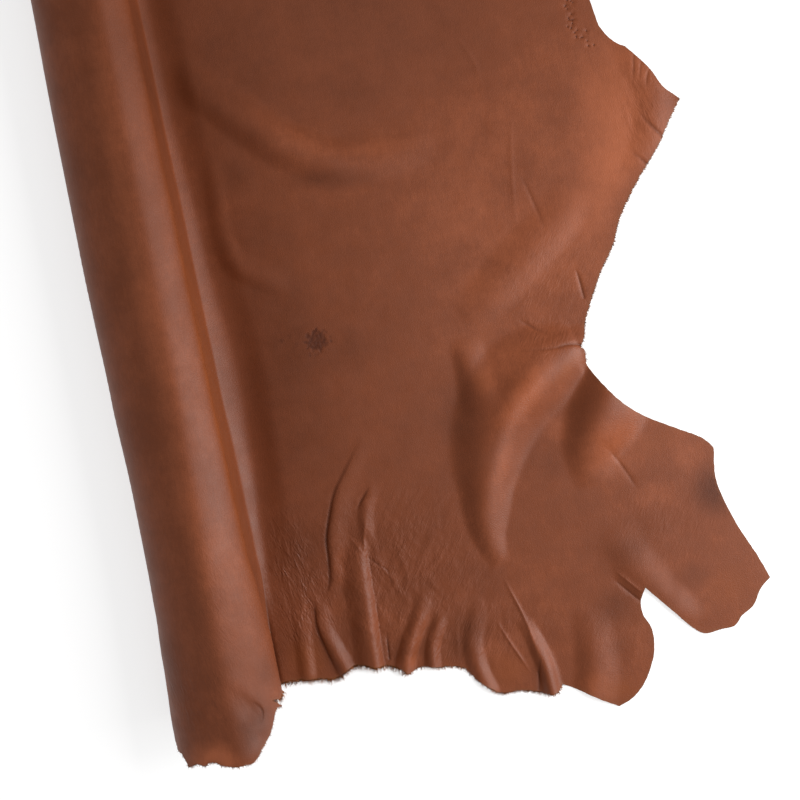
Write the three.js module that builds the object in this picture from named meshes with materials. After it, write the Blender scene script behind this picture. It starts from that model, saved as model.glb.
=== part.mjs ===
// A side of oiled leather lying grain side up, with its backbone edge rolled under into a loose roll.
// Millimetres, +Z up. X runs across the side from the roll to the belly, Y along it towards the neck.
// The side is drawn first as it was cut, flat, in "across" and "along". Across is X on the part that
// lies flat, and goes on past the valley beside the roll as length wound into the roll.

import * as THREE from 'three';

// Driving sizes
const THICKNESS = 2;
const BACKBONE = -400;        // across of the straight backbone edge, inside the roll
const ORIGIN = { across: 325, along: 985 };   // under the middle of the whole side's box
const FLAT_SPOT = 2;          // how far the roll settles into its flat spot
const OPEN_TURN = 250;        // degrees round the roll up to which it stays one outer turn
const TIGHTEN = 0.0011;       // share by which the inner turn draws in for each further degree
const LAST_TURN = 440;        // degrees at which the drawn section of the roll ends
const ROOF = 1.65;            // exponent of the roll's far upper side: 2 is an oval, less is a softer ridge
const SKIRT_POWER = 1.6;      // how the skirt steepens toward the roll
const VALLEY_EASE = 38;       // across over which folds fade in past the skirt
const COLOUR = 0x84492f;
const ROUGHNESS = 0.55;

// The section of the roll at places along it. The flat part rises in a skirt to the valley, where it turns
// up into the roll. leave is the angle, in degrees above level, at which the turn-up meets the roll, lean
// how far the roll's top leans toward the belly, and wall the height at which that side stands upright.
const ROLL_COLUMNS = ['along', 'valley', 'right', 'left', 'halfHeight', 'leave', 'lean', 'wall', 'rise',
  'skirt'];
const ROLL = [
  [-40, 68, 70, 76, 56, -34, 8, 57, 0, 6],
  [60, 68, 70, 71, 56, -34, 8, 57, 0, 6],
  [150, 68, 70, 67, 57, -30, 8, 58, 0, 6],
  [215, 70, 66, 64, 57, -8, 10, 64, 3, 8],
  [270, 68, 62, 63, 57, 0, 12, 72, 6, 14],
  [370, 68, 60, 63, 57, 0, 14, 80, 9, 20],
  [480, 65, 58, 66, 57, 0, 18, 80, 10, 28],
  [670, 62, 56, 69, 56, 0, 18, 80, 8, 20],
  [850, 59, 54, 69, 55, 0, 18, 78, 5, 14],
  [1030, 57, 52, 67, 55, 0, 18, 78, 5, 14],
  [2040, 57, 52, 67, 54, 0, 18, 77, 5, 14],
].map((row) => Object.fromEntries(ROLL_COLUMNS.map((name, column) => [name, row[column]])));
// Bezier handles of the turn-up: share of its width on from the skirt, share of its height down the wall
const TURN_UP = { out: 0.6, back: 0.7 };
// Bezier handles of the shoulder: share of its width along the roll's top, share of its height up the wall
const SHOULDER = { top: 0.35, wall: 0.3 };

// The cut edge, counter-clockwise, as smooth stretches that meet at corners. Points are [across, along].
const OUTLINE = [
  { stretch: 'tail under the roll', through: [[BACKBONE, 70], [-300, 80], [-240, 72], [-205, 60],
    [-188, 50], [-180, 43], [-169, 35], [-160, 19]] },
  { stretch: 'tail over the roll', through: [[-160, 19], [-145, 22], [-135, 19], [-122, 22], [-107, 17],
    [-92, 13], [-71, 13], [-56, 26], [-42, 37], [-30, 53], [-20, 66], [-9, 71]] },
  { stretch: 'butt beside the roll', through: [[-9, 71], [-8, 79], [6, 85], [18, 86], [50, 87], [85, 87],
    [118, 83], [141, 80], [155, 88], [173, 91], [192, 84], [206, 83], [222, 76], [231, 67]] },
  { stretch: 'butt', through: [[231, 67], [246, 72], [274, 67], [302, 61], [326, 33], [342, 20], [376, 16],
    [395, 10], [409, 5], [418, 7], [425, 14]] },
  { stretch: 'lobe, lower edge', through: [[425, 14], [441, 5], [470, -15], [492, -29]] },
  { stretch: 'lobe, outer edge', through: [[492, -29], [511, -22], [523, -13], [537, 4], [551, 34],
    [553, 62], [546, 81], [545, 94], [549, 106], [555, 116]] },
  { stretch: 'hind shank, lower edge', through: [[555, 116], [587, 76], [607, 51], [620, 42], [640, 43],
    [661, 45], [671, 55], [688, 65], [703, 86], [717, 97]] },
  { stretch: 'hind shank, end', through: [[717, 97], [708, 124], [690, 168], [678, 207], [673, 237],
    [678, 277]] },
  { stretch: 'hind shank, upper edge', through: [[678, 277], [667, 291], [640, 308], [593, 338],
    [567, 362], [548, 392], [536, 418]] },
  { stretch: 'flank', through: [[536, 418], [537, 433], [538, 446], [546, 470], [559, 496], [579, 530],
    [601, 561], [617, 594], [644, 631], [686, 679], [700, 700], [723, 731]] },
  { stretch: 'belly corner', through: [[723, 731], [704, 750], [694, 772], [678, 796], [667, 810]] },
  { stretch: 'belly nick', through: [[667, 810], [658, 816], [647, 828], [639, 843]] },
  { stretch: 'belly', through: [[639, 843], [634, 879], [629, 930], [636, 1040], [647, 1150], [640, 1260],
    [612, 1350], [586, 1420], [606, 1480], [655, 1510], [692, 1540]] },
  { stretch: 'fore shank, end', through: [[692, 1540], [704, 1590], [690, 1640]] },
  { stretch: 'fore shank, upper edge', through: [[690, 1640], [640, 1652], [582, 1684], [540, 1745],
    [516, 1830], [508, 1900], [514, 1965]] },
  { stretch: 'neck', through: [[514, 1965], [430, 1992], [300, 2000], [150, 1992], [0, 1984], [-200, 1976],
    [BACKBONE, 1980]] },
  { stretch: 'backbone', through: [[BACKBONE, 1980], [BACKBONE, 70]] },
];

// Folds of the flat part. Each crest runs through rows of [across, along, height, left, right]: left and
// right are how far its two sides reach, seen by someone who walks along the crest.
const FOLDS = [
  { fold: 'rise beside the roll', crest: [[150, 1500, 0, 300, 110], [140, 1100, 8, 300, 110],
    [140, 900, 8, 300, 110], [152, 760, 9, 300, 115], [178, 620, 10, 300, 135], [176, 520, 10, 300, 135],
    [158, 430, 10, 300, 120], [145, 330, 8, 300, 110], [138, 200, 0, 300, 100]] },
  { fold: 'long ripple', crest: [[84, 905, 0, 34, 26], [106, 868, 5, 36, 28], [140, 834, 8, 38, 30],
    [168, 804, 10, 38, 32], [196, 776, 11, 38, 32], [226, 755, 10, 38, 34], [260, 739, 8, 36, 34],
    [300, 730, 5, 34, 32], [348, 729, 3, 32, 30], [400, 738, 0, 30, 28]] },
  { fold: 'short ripple', crest: [[105, 725, 2, 20, 13], [102, 656, 4, 24, 17], [112, 634, 5, 24, 18],
    [130, 617, 5, 24, 18], [152, 604, 3, 24, 18], [178, 590, 0, 24, 18]] },
  { fold: 'main ridge', crest: [[532, 438, 8, 32, 34], [519, 435, 13, 40, 46], [479, 417, 20, 52, 70],
    [438, 388, 21, 54, 72], [407, 349, 19, 49, 66], [388, 313, 17, 44, 54], [377, 281, 14, 38, 40],
    [368, 243, 10, 34, 28], [370, 209, 5, 22, 20], [377, 180, 0, 16, 14]] },
  { fold: 'spur of the main ridge', crest: [[382, 480, 0, 30, 16], [386, 450, 5, 32, 20],
    [389, 425, 7, 32, 24], [391, 400, 5, 30, 28], [394, 375, 0, 28, 28]] },
  { fold: 'rise of the hind shank', crest: [[570, 391, 16, 56, 44], [553, 362, 20, 60, 46],
    [533, 335, 18, 58, 44], [520, 310, 12, 50, 38], [515, 284, 5, 42, 30], [516, 256, 0, 34, 24]] },
  { fold: 'flank, upper crease', crest: [[570, 646, 0, 30, 34], [538, 604, 3, 34, 38],
    [502, 577, 4.5, 34, 40], [466, 550, 4.5, 34, 40], [430, 526, 3.5, 32, 36], [390, 504, 0, 28, 32]] },
  { fold: 'belly edge', crest: [[662, 826, 0, 30, 26], [680, 785, 3, 30, 28], [692, 742, 4, 30, 30],
    [676, 690, 3, 26, 26], [645, 640, 0, 24, 24]] },
  { fold: 'notch', crest: [[532, 205, 0, 36, 26], [538, 168, 2, 38, 30], [549, 142, 4, 36, 32],
    [562, 122, 5, 34, 32]] },
  { fold: 'hind shank, lower edge', crest: [[562, 118, 0, 30, 26], [586, 84, 5, 32, 26],
    [612, 54, 0, 26, 24]] },
  { fold: 'lobe', crest: [[480, 105, 0, 30, 24], [475, 65, 4, 34, 26], [471, 28, 6, 36, 28],
    [462, -8, 7, 36, 28]] },
  { fold: 'pucker beside the roll', crest: [[112, 200, 0, 14, 14], [106, 136, 3, 14, 14],
    [102, 90, 5, 14, 14]] },
  { fold: 'pucker one', crest: [[137, 190, 0, 14, 9], [134, 148, 4, 16, 10], [140, 124, 6, 16, 11],
    [147, 104, 7, 15, 12], [152, 88, 7, 15, 12]] },
  { fold: 'pucker two', crest: [[204, 250, 0, 12, 22], [200, 228, 6, 12, 26], [197, 196, 9, 12, 28],
    [194, 134, 11, 12, 28], [192, 82, 11, 13, 26]] },
  { fold: 'pucker three', crest: [[276, 170, 0, 14, 12], [262, 140, 5, 14, 13], [246, 112, 8, 14, 14],
    [233, 86, 10, 14, 14], [228, 66, 10, 14, 14]] },
  { fold: 'pucker four', crest: [[291, 142, 0, 12, 10], [281, 118, 4, 12, 10], [271, 100, 6, 12, 10],
    [266, 82, 7, 12, 10], [264, 66, 7, 12, 10]] },
  { fold: 'pucker five', crest: [[341, 146, 0, 16, 14], [324, 98, 3, 16, 15], [321, 72, 5, 15, 15],
    [324, 45, 6, 15, 14], [330, 24, 6, 15, 14]] },
  { fold: 'pucker six', crest: [[388, 112, 0, 12, 10], [398, 85, 4, 13, 11], [404, 62, 7, 14, 12],
    [408, 38, 9, 15, 12], [410, 5, 10, 15, 12]] },
];
const CREST_STEPS = 6;        // straight steps between two rows of a crest

// How closely the sheet is divided: the first zone that holds a point gives its step.
const ZONES = [
  { zone: 'puckers', across: [86, 440], along: [-40, 215], step: 15 },
  { zone: 'main ridge', across: [345, 600], along: [100, 470], step: 22 },
  { zone: 'ripples', across: [110, 400], along: [600, 900], step: 27 },
  { zone: 'butt and flank', across: [150, 730], along: [-40, 900], step: 36 },
  { zone: 'all else', across: [-500, 800], along: [-100, 2100], step: 60 },
];
const CLOSE_ACROSS = 150;     // up to here, over the roll and its turn-up, steps across are shorter
const CLOSER = 4.2;           // how many times shorter
const EDGE_SHARE = 0.85;      // step along the cut edge, as a share of its zone's step
const CLEAR_SHARE = 0.6;      // least room round a point, as a share of its zone's step
const SHAKE = 0.08;           // uneven share of a step, so that no four points share a circle

const radians = THREE.MathUtils.degToRad;
const smooth = THREE.MathUtils.smoothstep;
const mix = THREE.MathUtils.lerp;

// The roll's sizes at a place along it, eased between the rows of the table.
function rollAt(along) {
  let row = 0;
  while (row < ROLL.length - 2 && along > ROLL[row + 1].along) {
    row += 1;
  }
  const [from, to] = [ROLL[row], ROLL[row + 1]];
  const share = smooth(along, from.along, to.along);
  return Object.fromEntries(ROLL_COLUMNS.map((name) => [name, mix(from[name], to[name], share)]));
}

// The inner face of the roll's section: from the valley, up the turn-up and round the roll, then inward.
function rollSection(along) {
  const { valley, right, left, halfHeight, leave, lean, wall, rise, skirt } = rollAt(along);
  const centre = halfHeight + THICKNESS - FLAT_SPOT;
  const top = centre + halfHeight;
  const shoulder = new THREE.CubicBezierCurve(
    new THREE.Vector2(lean, top),
    new THREE.Vector2(mix(lean, right, SHOULDER.top), top),
    new THREE.Vector2(right, mix(wall, top, SHOULDER.wall)),
    new THREE.Vector2(right, wall),
  );
  const onRoll = (degrees) => {
    const [cos, sin] = [Math.cos(radians(degrees)), Math.sin(radians(degrees))];
    if (degrees < 0) {
      return new THREE.Vector2(right * cos, wall * (1 + sin));
    }
    if (degrees < 90) {
      return shoulder.getPoint(1 - degrees / 90);
    }
    const size = 1 - TIGHTEN * Math.max(0, degrees - OPEN_TURN);
    const roof = sin > 0 && degrees < 180;
    const power = roof ? 2 / ROOF : 1;
    const x = Math.sign(cos) * Math.abs(cos) ** power * (cos > 0 ? right : left);
    const z = Math.sign(sin) * Math.abs(sin) ** power;
    const height = centre + size * halfHeight * z;
    return new THREE.Vector2(
      size * x + (roof ? lean * z * z : 0),
      degrees > 180 ? Math.max(height, THICKNESS) : height,
    );
  };
  const meet = onRoll(leave);
  const back = onRoll(leave + 1).sub(meet).normalize().multiplyScalar(TURN_UP.back * meet.y);
  const out = TURN_UP.out * (valley - meet.x);
  const turnUp = new THREE.CubicBezierCurve(
    new THREE.Vector2(valley, rise),
    new THREE.Vector2(valley - out, rise + (out * SKIRT_POWER * rise) / skirt),
    meet.clone().sub(back),
    meet,
  );
  const points = turnUp.getSpacedPoints(24);
  for (let degrees = leave + 3; degrees < LAST_TURN; degrees += 3) {
    points.push(onRoll(degrees));
  }
  const lengths = [0];
  for (let i = 1; i < points.length; i += 1) {
    lengths.push(lengths[i - 1] + points[i].distanceTo(points[i - 1]));
  }
  return { points, lengths };
}

// A point of the rolled part on its inner face, and the direction from there to the grain side.
function placeInRoll(across, along) {
  const { points, lengths } = rollSection(along);
  const wound = rollAt(along).valley - across;
  let i = 1;
  while (i < points.length - 1 && lengths[i] < wound) {
    i += 1;
  }
  const share = (wound - lengths[i - 1]) / (lengths[i] - lengths[i - 1]);
  const at = points[i - 1].clone().lerp(points[i], share);
  const before = points[Math.max(i - 2, 0)];
  const after = points[Math.min(i + 1, points.length - 1)];
  const heading = after.clone().sub(before).normalize();
  return {
    inner: new THREE.Vector3(at.x, along, at.y),
    out: new THREE.Vector3(heading.y, 0, -heading.x),
  };
}

// Each crest as a smooth line of short straight steps, with its height and reaches at each step.
const CRESTS = FOLDS.map(({ crest }) => {
  const rows = crest.map(([across, along, height]) => new THREE.Vector3(across, along, height));
  const curve = new THREE.CatmullRomCurve3(rows, false, 'centripetal');
  const spans = crest.length - 1;
  return curve.getPoints(spans * CREST_STEPS).map((at, i) => {
    const span = Math.min(Math.floor(i / CREST_STEPS), spans - 1);
    const share = i / CREST_STEPS - span;
    const [left, right] = [3, 4].map((column) => mix(crest[span][column], crest[span + 1][column], share));
    return { x: at.x, y: at.y, height: Math.max(0, at.z), left, right };
  });
});

// How far one fold lifts the sheet at a place.
function liftOfFold(line, across, along) {
  let nearest = Infinity;
  let height = 0;
  let reach = 1;
  for (let i = 0; i < line.length - 1; i += 1) {
    const [a, b] = [line[i], line[i + 1]];
    const [dx, dy] = [b.x - a.x, b.y - a.y];
    const share = ((across - a.x) * dx + (along - a.y) * dy) / (dx * dx + dy * dy);
    const t = THREE.MathUtils.clamp(share, 0, 1);
    const [gapX, gapY] = [across - a.x - t * dx, along - a.y - t * dy];
    const gap = Math.hypot(gapX, gapY);
    if (gap < nearest) {
      nearest = gap;
      height = mix(a.height, b.height, t);
      reach = dx * gapY > dy * gapX ? mix(a.left, b.left, t) : mix(a.right, b.right, t);
    }
  }
  const share = nearest / reach;
  return share < 1 ? height * (1 - share * share) ** 2 : 0;
}

// The height of the flat part's underside above the table.
function lift(across, along) {
  const total = CRESTS.reduce((sum, line) => sum + liftOfFold(line, across, along), 0);
  const { valley, rise, skirt } = rollAt(along);
  const gap = across - valley;
  const raised = rise * Math.max(0, 1 - gap / skirt) ** SKIRT_POWER;
  return raised + total * smooth(gap, skirt, skirt + VALLEY_EASE);
}

// A point of the flat part on its underside, and the direction from there to the grain side.
function placeOnTable(across, along) {
  const reach = 1;
  const slopeX = (lift(across + reach, along) - lift(across - reach, along)) / (2 * reach);
  const slopeY = (lift(across, along + reach) - lift(across, along - reach)) / (2 * reach);
  return {
    inner: new THREE.Vector3(across, along, lift(across, along)),
    out: new THREE.Vector3(-slopeX, -slopeY, 1).normalize(),
  };
}

function place(across, along) {
  return across < rollAt(along).valley ? placeInRoll(across, along) : placeOnTable(across, along);
}

// The plane in which the sheet is divided: the cut shape, stretched where steps across are shorter.
function stretch(across) {
  return across < CLOSE_ACROSS ? CLOSE_ACROSS + (across - CLOSE_ACROSS) * CLOSER : across;
}

function unstretch(x) {
  return x < CLOSE_ACROSS ? CLOSE_ACROSS + (x - CLOSE_ACROSS) / CLOSER : x;
}

function zoneAt(across, along) {
  return ZONES.find(({ across: [low, high], along: [near, far] }) =>
    across >= low && across <= high && along >= near && along <= far);
}

// Points along the cut edge, in the stretched plane.
function edgePoints() {
  const edge = [];
  for (const { through } of OUTLINE) {
    const curve = new THREE.CatmullRomCurve3(
      through.map(([across, along]) => new THREE.Vector3(across, along, 0)), false, 'centripetal');
    const spans = through.length - 1;
    for (let span = 0; span < spans; span += 1) {
      const start = curve.getPoint(span / spans);
      const end = curve.getPoint((span + 1) / spans);
      const length = Math.hypot(stretch(end.x) - stretch(start.x), end.y - start.y);
      const { step } = zoneAt((start.x + end.x) / 2, (start.y + end.y) / 2);
      const count = Math.max(1, Math.round(length / (step * EDGE_SHARE)));
      for (let i = 0; i < count; i += 1) {
        const point = curve.getPoint((span + i / count) / spans);
        edge.push(new THREE.Vector2(stretch(point.x), point.y));
      }
    }
  }
  return edge;
}

function isInside(point, edge) {
  let inside = false;
  for (let i = 0, j = edge.length - 1; i < edge.length; j = i, i += 1) {
    const [a, b] = [edge[i], edge[j]];
    if ((a.y > point.y) !== (b.y > point.y) && point.x < a.x + ((b.x - a.x) * (point.y - a.y)) / (b.y - a.y)) {
      inside = !inside;
    }
  }
  return inside;
}

function gapToEdge(point, edge) {
  const nearest = new THREE.Vector3();
  const at = new THREE.Vector3(point.x, point.y, 0);
  return edge.reduce((least, a, i) => {
    const b = edge[(i + 1) % edge.length];
    const side = new THREE.Line3(new THREE.Vector3(a.x, a.y, 0), new THREE.Vector3(b.x, b.y, 0));
    side.closestPointToPoint(at, true, nearest);
    return Math.min(least, nearest.distanceTo(at));
  }, Infinity);
}

// Staggered rows of points inside the edge, each zone at its own step.
function innerPoints(edge) {
  const inner = [];
  for (const zone of ZONES) {
    const { across: [low, high], along: [near, far], step } = zone;
    const rowGap = step * Math.sqrt(0.75);
    for (let row = 0; near + row * rowGap < far; row += 1) {
      for (let x = stretch(low) + (row % 2) * step * 0.5; x < stretch(high); x += step) {
        const seed = inner.length + row;
        const point = new THREE.Vector2(
          x + SHAKE * step * Math.sin(seed * 12.9),
          near + row * rowGap + SHAKE * step * Math.cos(seed * 7.7),
        );
        const room = CLEAR_SHARE * step;
        if (zoneAt(unstretch(point.x), point.y) === zone && isInside(point, edge)
          && gapToEdge(point, edge) > room && inner.every((other) => other.distanceTo(point) > room)) {
          inner.push(point);
        }
      }
    }
  }
  return inner;
}

// Delaunay triangles of points in a plane: each point in turn opens the triangles whose circle holds it.
function triangulate(points) {
  const FAR = 1e5;
  const frame = [[-FAR, -FAR], [FAR, -FAR], [0, FAR]].map(([x, y]) => new THREE.Vector2(x, y));
  const all = [...points, ...frame];
  const withCircle = (a, b, c) => {
    const [p, q, r] = [all[a], all[b], all[c]];
    const d = 2 * (p.x * (q.y - r.y) + q.x * (r.y - p.y) + r.x * (p.y - q.y));
    const [pp, qq, rr] = [p.lengthSq(), q.lengthSq(), r.lengthSq()];
    const x = (pp * (q.y - r.y) + qq * (r.y - p.y) + rr * (p.y - q.y)) / d;
    const y = (pp * (r.x - q.x) + qq * (p.x - r.x) + rr * (q.x - p.x)) / d;
    return { corners: [a, b, c], x, y, radiusSq: (p.x - x) ** 2 + (p.y - y) ** 2 };
  };
  const first = points.length;
  let triangles = [withCircle(first, first + 1, first + 2)];
  points.forEach((point, index) => {
    const opened = new Map();
    const kept = [];
    for (const triangle of triangles) {
      if ((point.x - triangle.x) ** 2 + (point.y - triangle.y) ** 2 < triangle.radiusSq) {
        triangle.corners.forEach((a, i) => opened.set(`${a},${triangle.corners[(i + 1) % 3]}`, triangle));
      } else {
        kept.push(triangle);
      }
    }
    for (const side of opened.keys()) {
      const [a, b] = side.split(',').map(Number);
      if (!opened.has(`${b},${a}`)) {
        kept.push(withCircle(a, b, index));
      }
    }
    triangles = kept;
  });
  return triangles.map(({ corners }) => corners).filter((corners) => corners.every((corner) => corner < first));
}

// The closed sheet: the underside, the grain side a thickness away, and a rim round the cut edge.
function sheetGeometry() {
  const edge = edgePoints();
  const flat = [...edge, ...innerPoints(edge)];
  const middle = (corners) => corners.reduce((sum, i) => sum.add(flat[i]), new THREE.Vector2()).divideScalar(3);
  const triangles = triangulate(flat).filter((corners) => isInside(middle(corners), edge));

  const positions = [];
  const grain = [];
  for (const point of flat) {
    const { inner, out } = place(unstretch(point.x), point.y);
    positions.push(...inner.toArray());
    grain.push(...inner.addScaledVector(out, THICKNESS).toArray());
  }
  positions.push(...grain);

  const count = flat.length;
  const indices = [];
  const sides = new Set(triangles.flatMap((t) => t.map((a, i) => `${a},${t[(i + 1) % 3]}`)));
  for (const [a, b, c] of triangles) {
    indices.push(c, b, a, a + count, b + count, c + count);
  }
  for (const side of sides) {
    const [a, b] = side.split(',').map(Number);
    if (!sides.has(`${b},${a}`)) {
      indices.push(a, b, b + count, a, b + count, a + count);
    }
  }

  const geometry = new THREE.BufferGeometry();
  geometry.setAttribute('position', new THREE.Float32BufferAttribute(positions, 3));
  geometry.setIndex(indices);
  geometry.computeVertexNormals();
  return geometry;
}

function leatherSide() {
  const material = new THREE.MeshStandardMaterial({ color: COLOUR, roughness: ROUGHNESS, metalness: 0 });
  const mesh = new THREE.Mesh(sheetGeometry(), material);
  mesh.name = 'leather_side';
  mesh.position.set(-ORIGIN.across, -ORIGIN.along, 0);
  return mesh;
}

const side = new THREE.Group();
side.add(leatherSide());

export default side;
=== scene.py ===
# A side of oiled leather lying grain side up, with its backbone edge rolled under into a loose roll.
# Tables are in millimetres of the cut as it lay flat: "across" runs from the backbone to the belly and
# is X on the part that lies on the table, "along" runs from the tail to the neck and is Y.
# Blender's objects are in metres.

import math

import bpy
import numpy as np
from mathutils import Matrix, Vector, kdtree, noise
from mathutils.geometry import delaunay_2d_cdt


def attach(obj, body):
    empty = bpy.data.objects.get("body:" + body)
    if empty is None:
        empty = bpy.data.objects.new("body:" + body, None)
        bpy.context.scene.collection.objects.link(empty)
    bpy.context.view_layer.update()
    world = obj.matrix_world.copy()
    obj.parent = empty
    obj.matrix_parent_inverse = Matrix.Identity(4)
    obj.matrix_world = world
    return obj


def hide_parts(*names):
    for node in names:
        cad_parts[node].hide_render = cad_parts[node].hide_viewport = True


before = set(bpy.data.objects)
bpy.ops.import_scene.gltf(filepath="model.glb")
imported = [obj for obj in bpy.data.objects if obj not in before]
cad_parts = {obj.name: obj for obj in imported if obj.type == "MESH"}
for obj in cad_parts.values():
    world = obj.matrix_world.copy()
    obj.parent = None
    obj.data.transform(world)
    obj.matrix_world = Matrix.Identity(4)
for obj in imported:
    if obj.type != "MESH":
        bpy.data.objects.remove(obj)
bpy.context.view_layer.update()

NODE = "leather_side"
MM = 0.001

# Driving sizes
THICKNESS = 2.0
BACKBONE = -400.0
ORIGIN = (325.0, 985.0)     # across and along of the frame's origin
FLAT_SPOT = 2.0             # how far the roll settles into its flat spot
OPEN_TURN = 250.0           # degrees round the roll up to which it stays one outer turn
TIGHTEN = 0.0011            # share by which the inner turn draws in for each further degree
LAST_TURN = 440.0           # degrees at which the drawn section of the roll ends
SECTION_STEPS = (24, 150)   # steps in the turn-up and round the oval
TURN_UP_OUT = 0.6           # Bezier handles of the turn-up: share of its width on from the skirt,
TURN_UP_BACK = 0.7          # and share of its height back down the wall
SHOULDER_TOP = 0.35         # Bezier handles of the shoulder: share of its width along the roll's top,
SHOULDER_WALL = 0.3         # and share of its height up the wall
SKIRT_POWER = 1.6           # how the skirt steepens toward the roll
ROOF = 1.65                 # exponent of the roll's far upper side: 2 is an oval, less is a softer ridge
VALLEY_EASE = 38.0          # across over which folds fade in past the skirt
LINE_STEPS = 6              # steps between two points of a drawn crest or crease
SHARP_ANGLE = 55.0          # degrees past which an edge of the sheet is shaded sharp
LAST_PAINTED = -170.0       # across below which the leather is hidden in the roll and left plain

# The photograph's view: straight down on the table
PHOTO_CENTRE = (290.6, 416.9)
PHOTO_TURN = 11.3    # degrees by which the roll leans in the frame
PHOTO_SPAN = 1040.0  # width of the table in the frame
CAMERA_HEIGHT = 2200.0

# The section of the roll at places along it. The flat part rises in a skirt to the valley, where it turns
# up into the roll. right and left are the roll's half widths, and rise and skirt the skirt's height and
# width. leave is the angle, in degrees above level, at which the turn-up meets the roll, lean how far the
# roll's top leans toward the belly, and wall the height at which that side stands upright.
ROLL_COLUMNS = ("along", "valley", "right", "left", "half_height", "leave", "lean", "wall", "rise", "skirt")
ROLL = np.array([
    (-40, 68, 70, 76, 56, -34, 8, 57, 0, 6),
    (60, 68, 70, 71, 56, -34, 8, 57, 0, 6),
    (150, 68, 70, 67, 57, -30, 8, 58, 0, 6),
    (215, 70, 66, 64, 57, -8, 10, 64, 3, 8),
    (270, 68, 62, 63, 57, 0, 12, 72, 6, 14),
    (370, 68, 60, 63, 57, 0, 14, 80, 9, 20),
    (480, 65, 58, 66, 57, 0, 18, 80, 10, 28),
    (670, 62, 56, 69, 56, 0, 18, 80, 8, 20),
    (850, 59, 54, 69, 55, 0, 18, 78, 5, 14),
    (1030, 57, 52, 67, 55, 0, 18, 78, 5, 14),
    (2040, 57, 52, 67, 54, 0, 18, 77, 5, 14),
], float)

# The cut edge, counter-clockwise, as smooth stretches that meet at corners. fuzz is how many fibres
# stand out of each millimetre of edge, reach their usual length, ragged how far the cut wanders.
# Points are (across, along).
OUTLINE = [
    ("tail under the roll", 4, 4.0, 1.4, [(BACKBONE, 70), (-300, 80), (-240, 72), (-205, 60), (-188, 50),
     (-180, 46), (-180, 41), (-175, 37), (-169, 35), (-165, 30), (-162, 25), (-160, 19)]),
    ("tail over the roll", 7, 3.0, 0.9, [(-160, 19), (-152, 20), (-145, 22), (-139, 21), (-135, 19),
     (-130, 20), (-126, 22), (-118, 22), (-107, 17), (-100, 15), (-92, 13), (-80, 13), (-71, 13), (-62, 19),
     (-56, 26), (-50, 31), (-42, 37), (-36, 44), (-30, 53), (-26, 61), (-19, 68), (-8, 68)]),
    ("tear, lower lip", 4, 1.5, 0.3, [(-8, 68), (-18, 74), (-26, 79)]),
    ("tear, upper lip", 4, 1.5, 0.3, [(-26, 79), (-18, 79), (-12, 77)]),
    ("butt beside the roll", 18, 6.5, 1.1, [(-12, 77), (-8, 79), (-3, 83), (6, 85), (18, 86), (50, 87),
     (85, 87), (118, 83), (141, 80), (155, 88), (173, 91), (192, 84), (206, 83), (222, 76), (231, 67)]),
    ("butt", 11, 4.2, 0.9, [(231, 67), (246, 72), (274, 67), (302, 61), (326, 33), (342, 20), (376, 16),
     (395, 10), (409, 5), (418, 7), (425, 14)]),
    ("lobe, lower edge", 3, 0.9, 0.4, [(425, 14), (441, 5), (470, -15), (492, -29)]),
    ("lobe, outer edge", 2, 0.8, 0.4, [(492, -29), (511, -22), (523, -13), (537, 4), (551, 34), (553, 62),
     (546, 81), (545, 94), (549, 106), (555, 116)]),
    ("hind shank, lower edge", 2, 0.8, 0.4, [(555, 116), (587, 76), (607, 51), (620, 42), (640, 43),
     (661, 45), (671, 55), (688, 65), (703, 86), (717, 97)]),
    ("hind shank, end", 2, 0.8, 0.4, [(717, 97), (708, 124), (690, 168), (678, 207), (673, 237),
     (678, 277)]),
    ("hind shank, upper edge", 2, 0.7, 0.4, [(678, 277), (667, 291), (640, 308), (593, 338), (567, 362),
     (548, 392), (536, 418)]),
    ("flank", 9, 2.8, 0.7, [(536, 418), (537, 433), (533, 439), (538, 446), (546, 470), (559, 496),
     (579, 530), (601, 561), (617, 594), (644, 631), (686, 679), (700, 700), (723, 731)]),
    ("belly corner", 3, 0.9, 0.4, [(723, 731), (704, 750), (694, 772), (678, 796), (667, 810)]),
    ("belly nick", 2, 0.8, 0.4, [(667, 810), (658, 816), (647, 828), (639, 843)]),
    ("belly", 1, 0.8, 0.4, [(639, 843), (634, 879), (629, 930), (636, 1040), (647, 1150), (640, 1260),
     (612, 1350), (586, 1420), (606, 1480), (655, 1510), (692, 1540)]),
    ("fore shank, end", 1, 0.8, 0.4, [(692, 1540), (704, 1590), (690, 1640)]),
    ("fore shank, upper edge", 1, 0.8, 0.4, [(690, 1640), (640, 1652), (582, 1684), (540, 1745), (516, 1830),
     (508, 1900), (514, 1965)]),
    ("neck", 1, 1.2, 0.8, [(514, 1965), (430, 1992), (300, 2000), (150, 1992), (0, 1984), (-200, 1976),
     (BACKBONE, 1980)]),
    ("backbone", 0.1, 0.8, 0, [(BACKBONE, 1980), (BACKBONE, 70)]),
]

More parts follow.
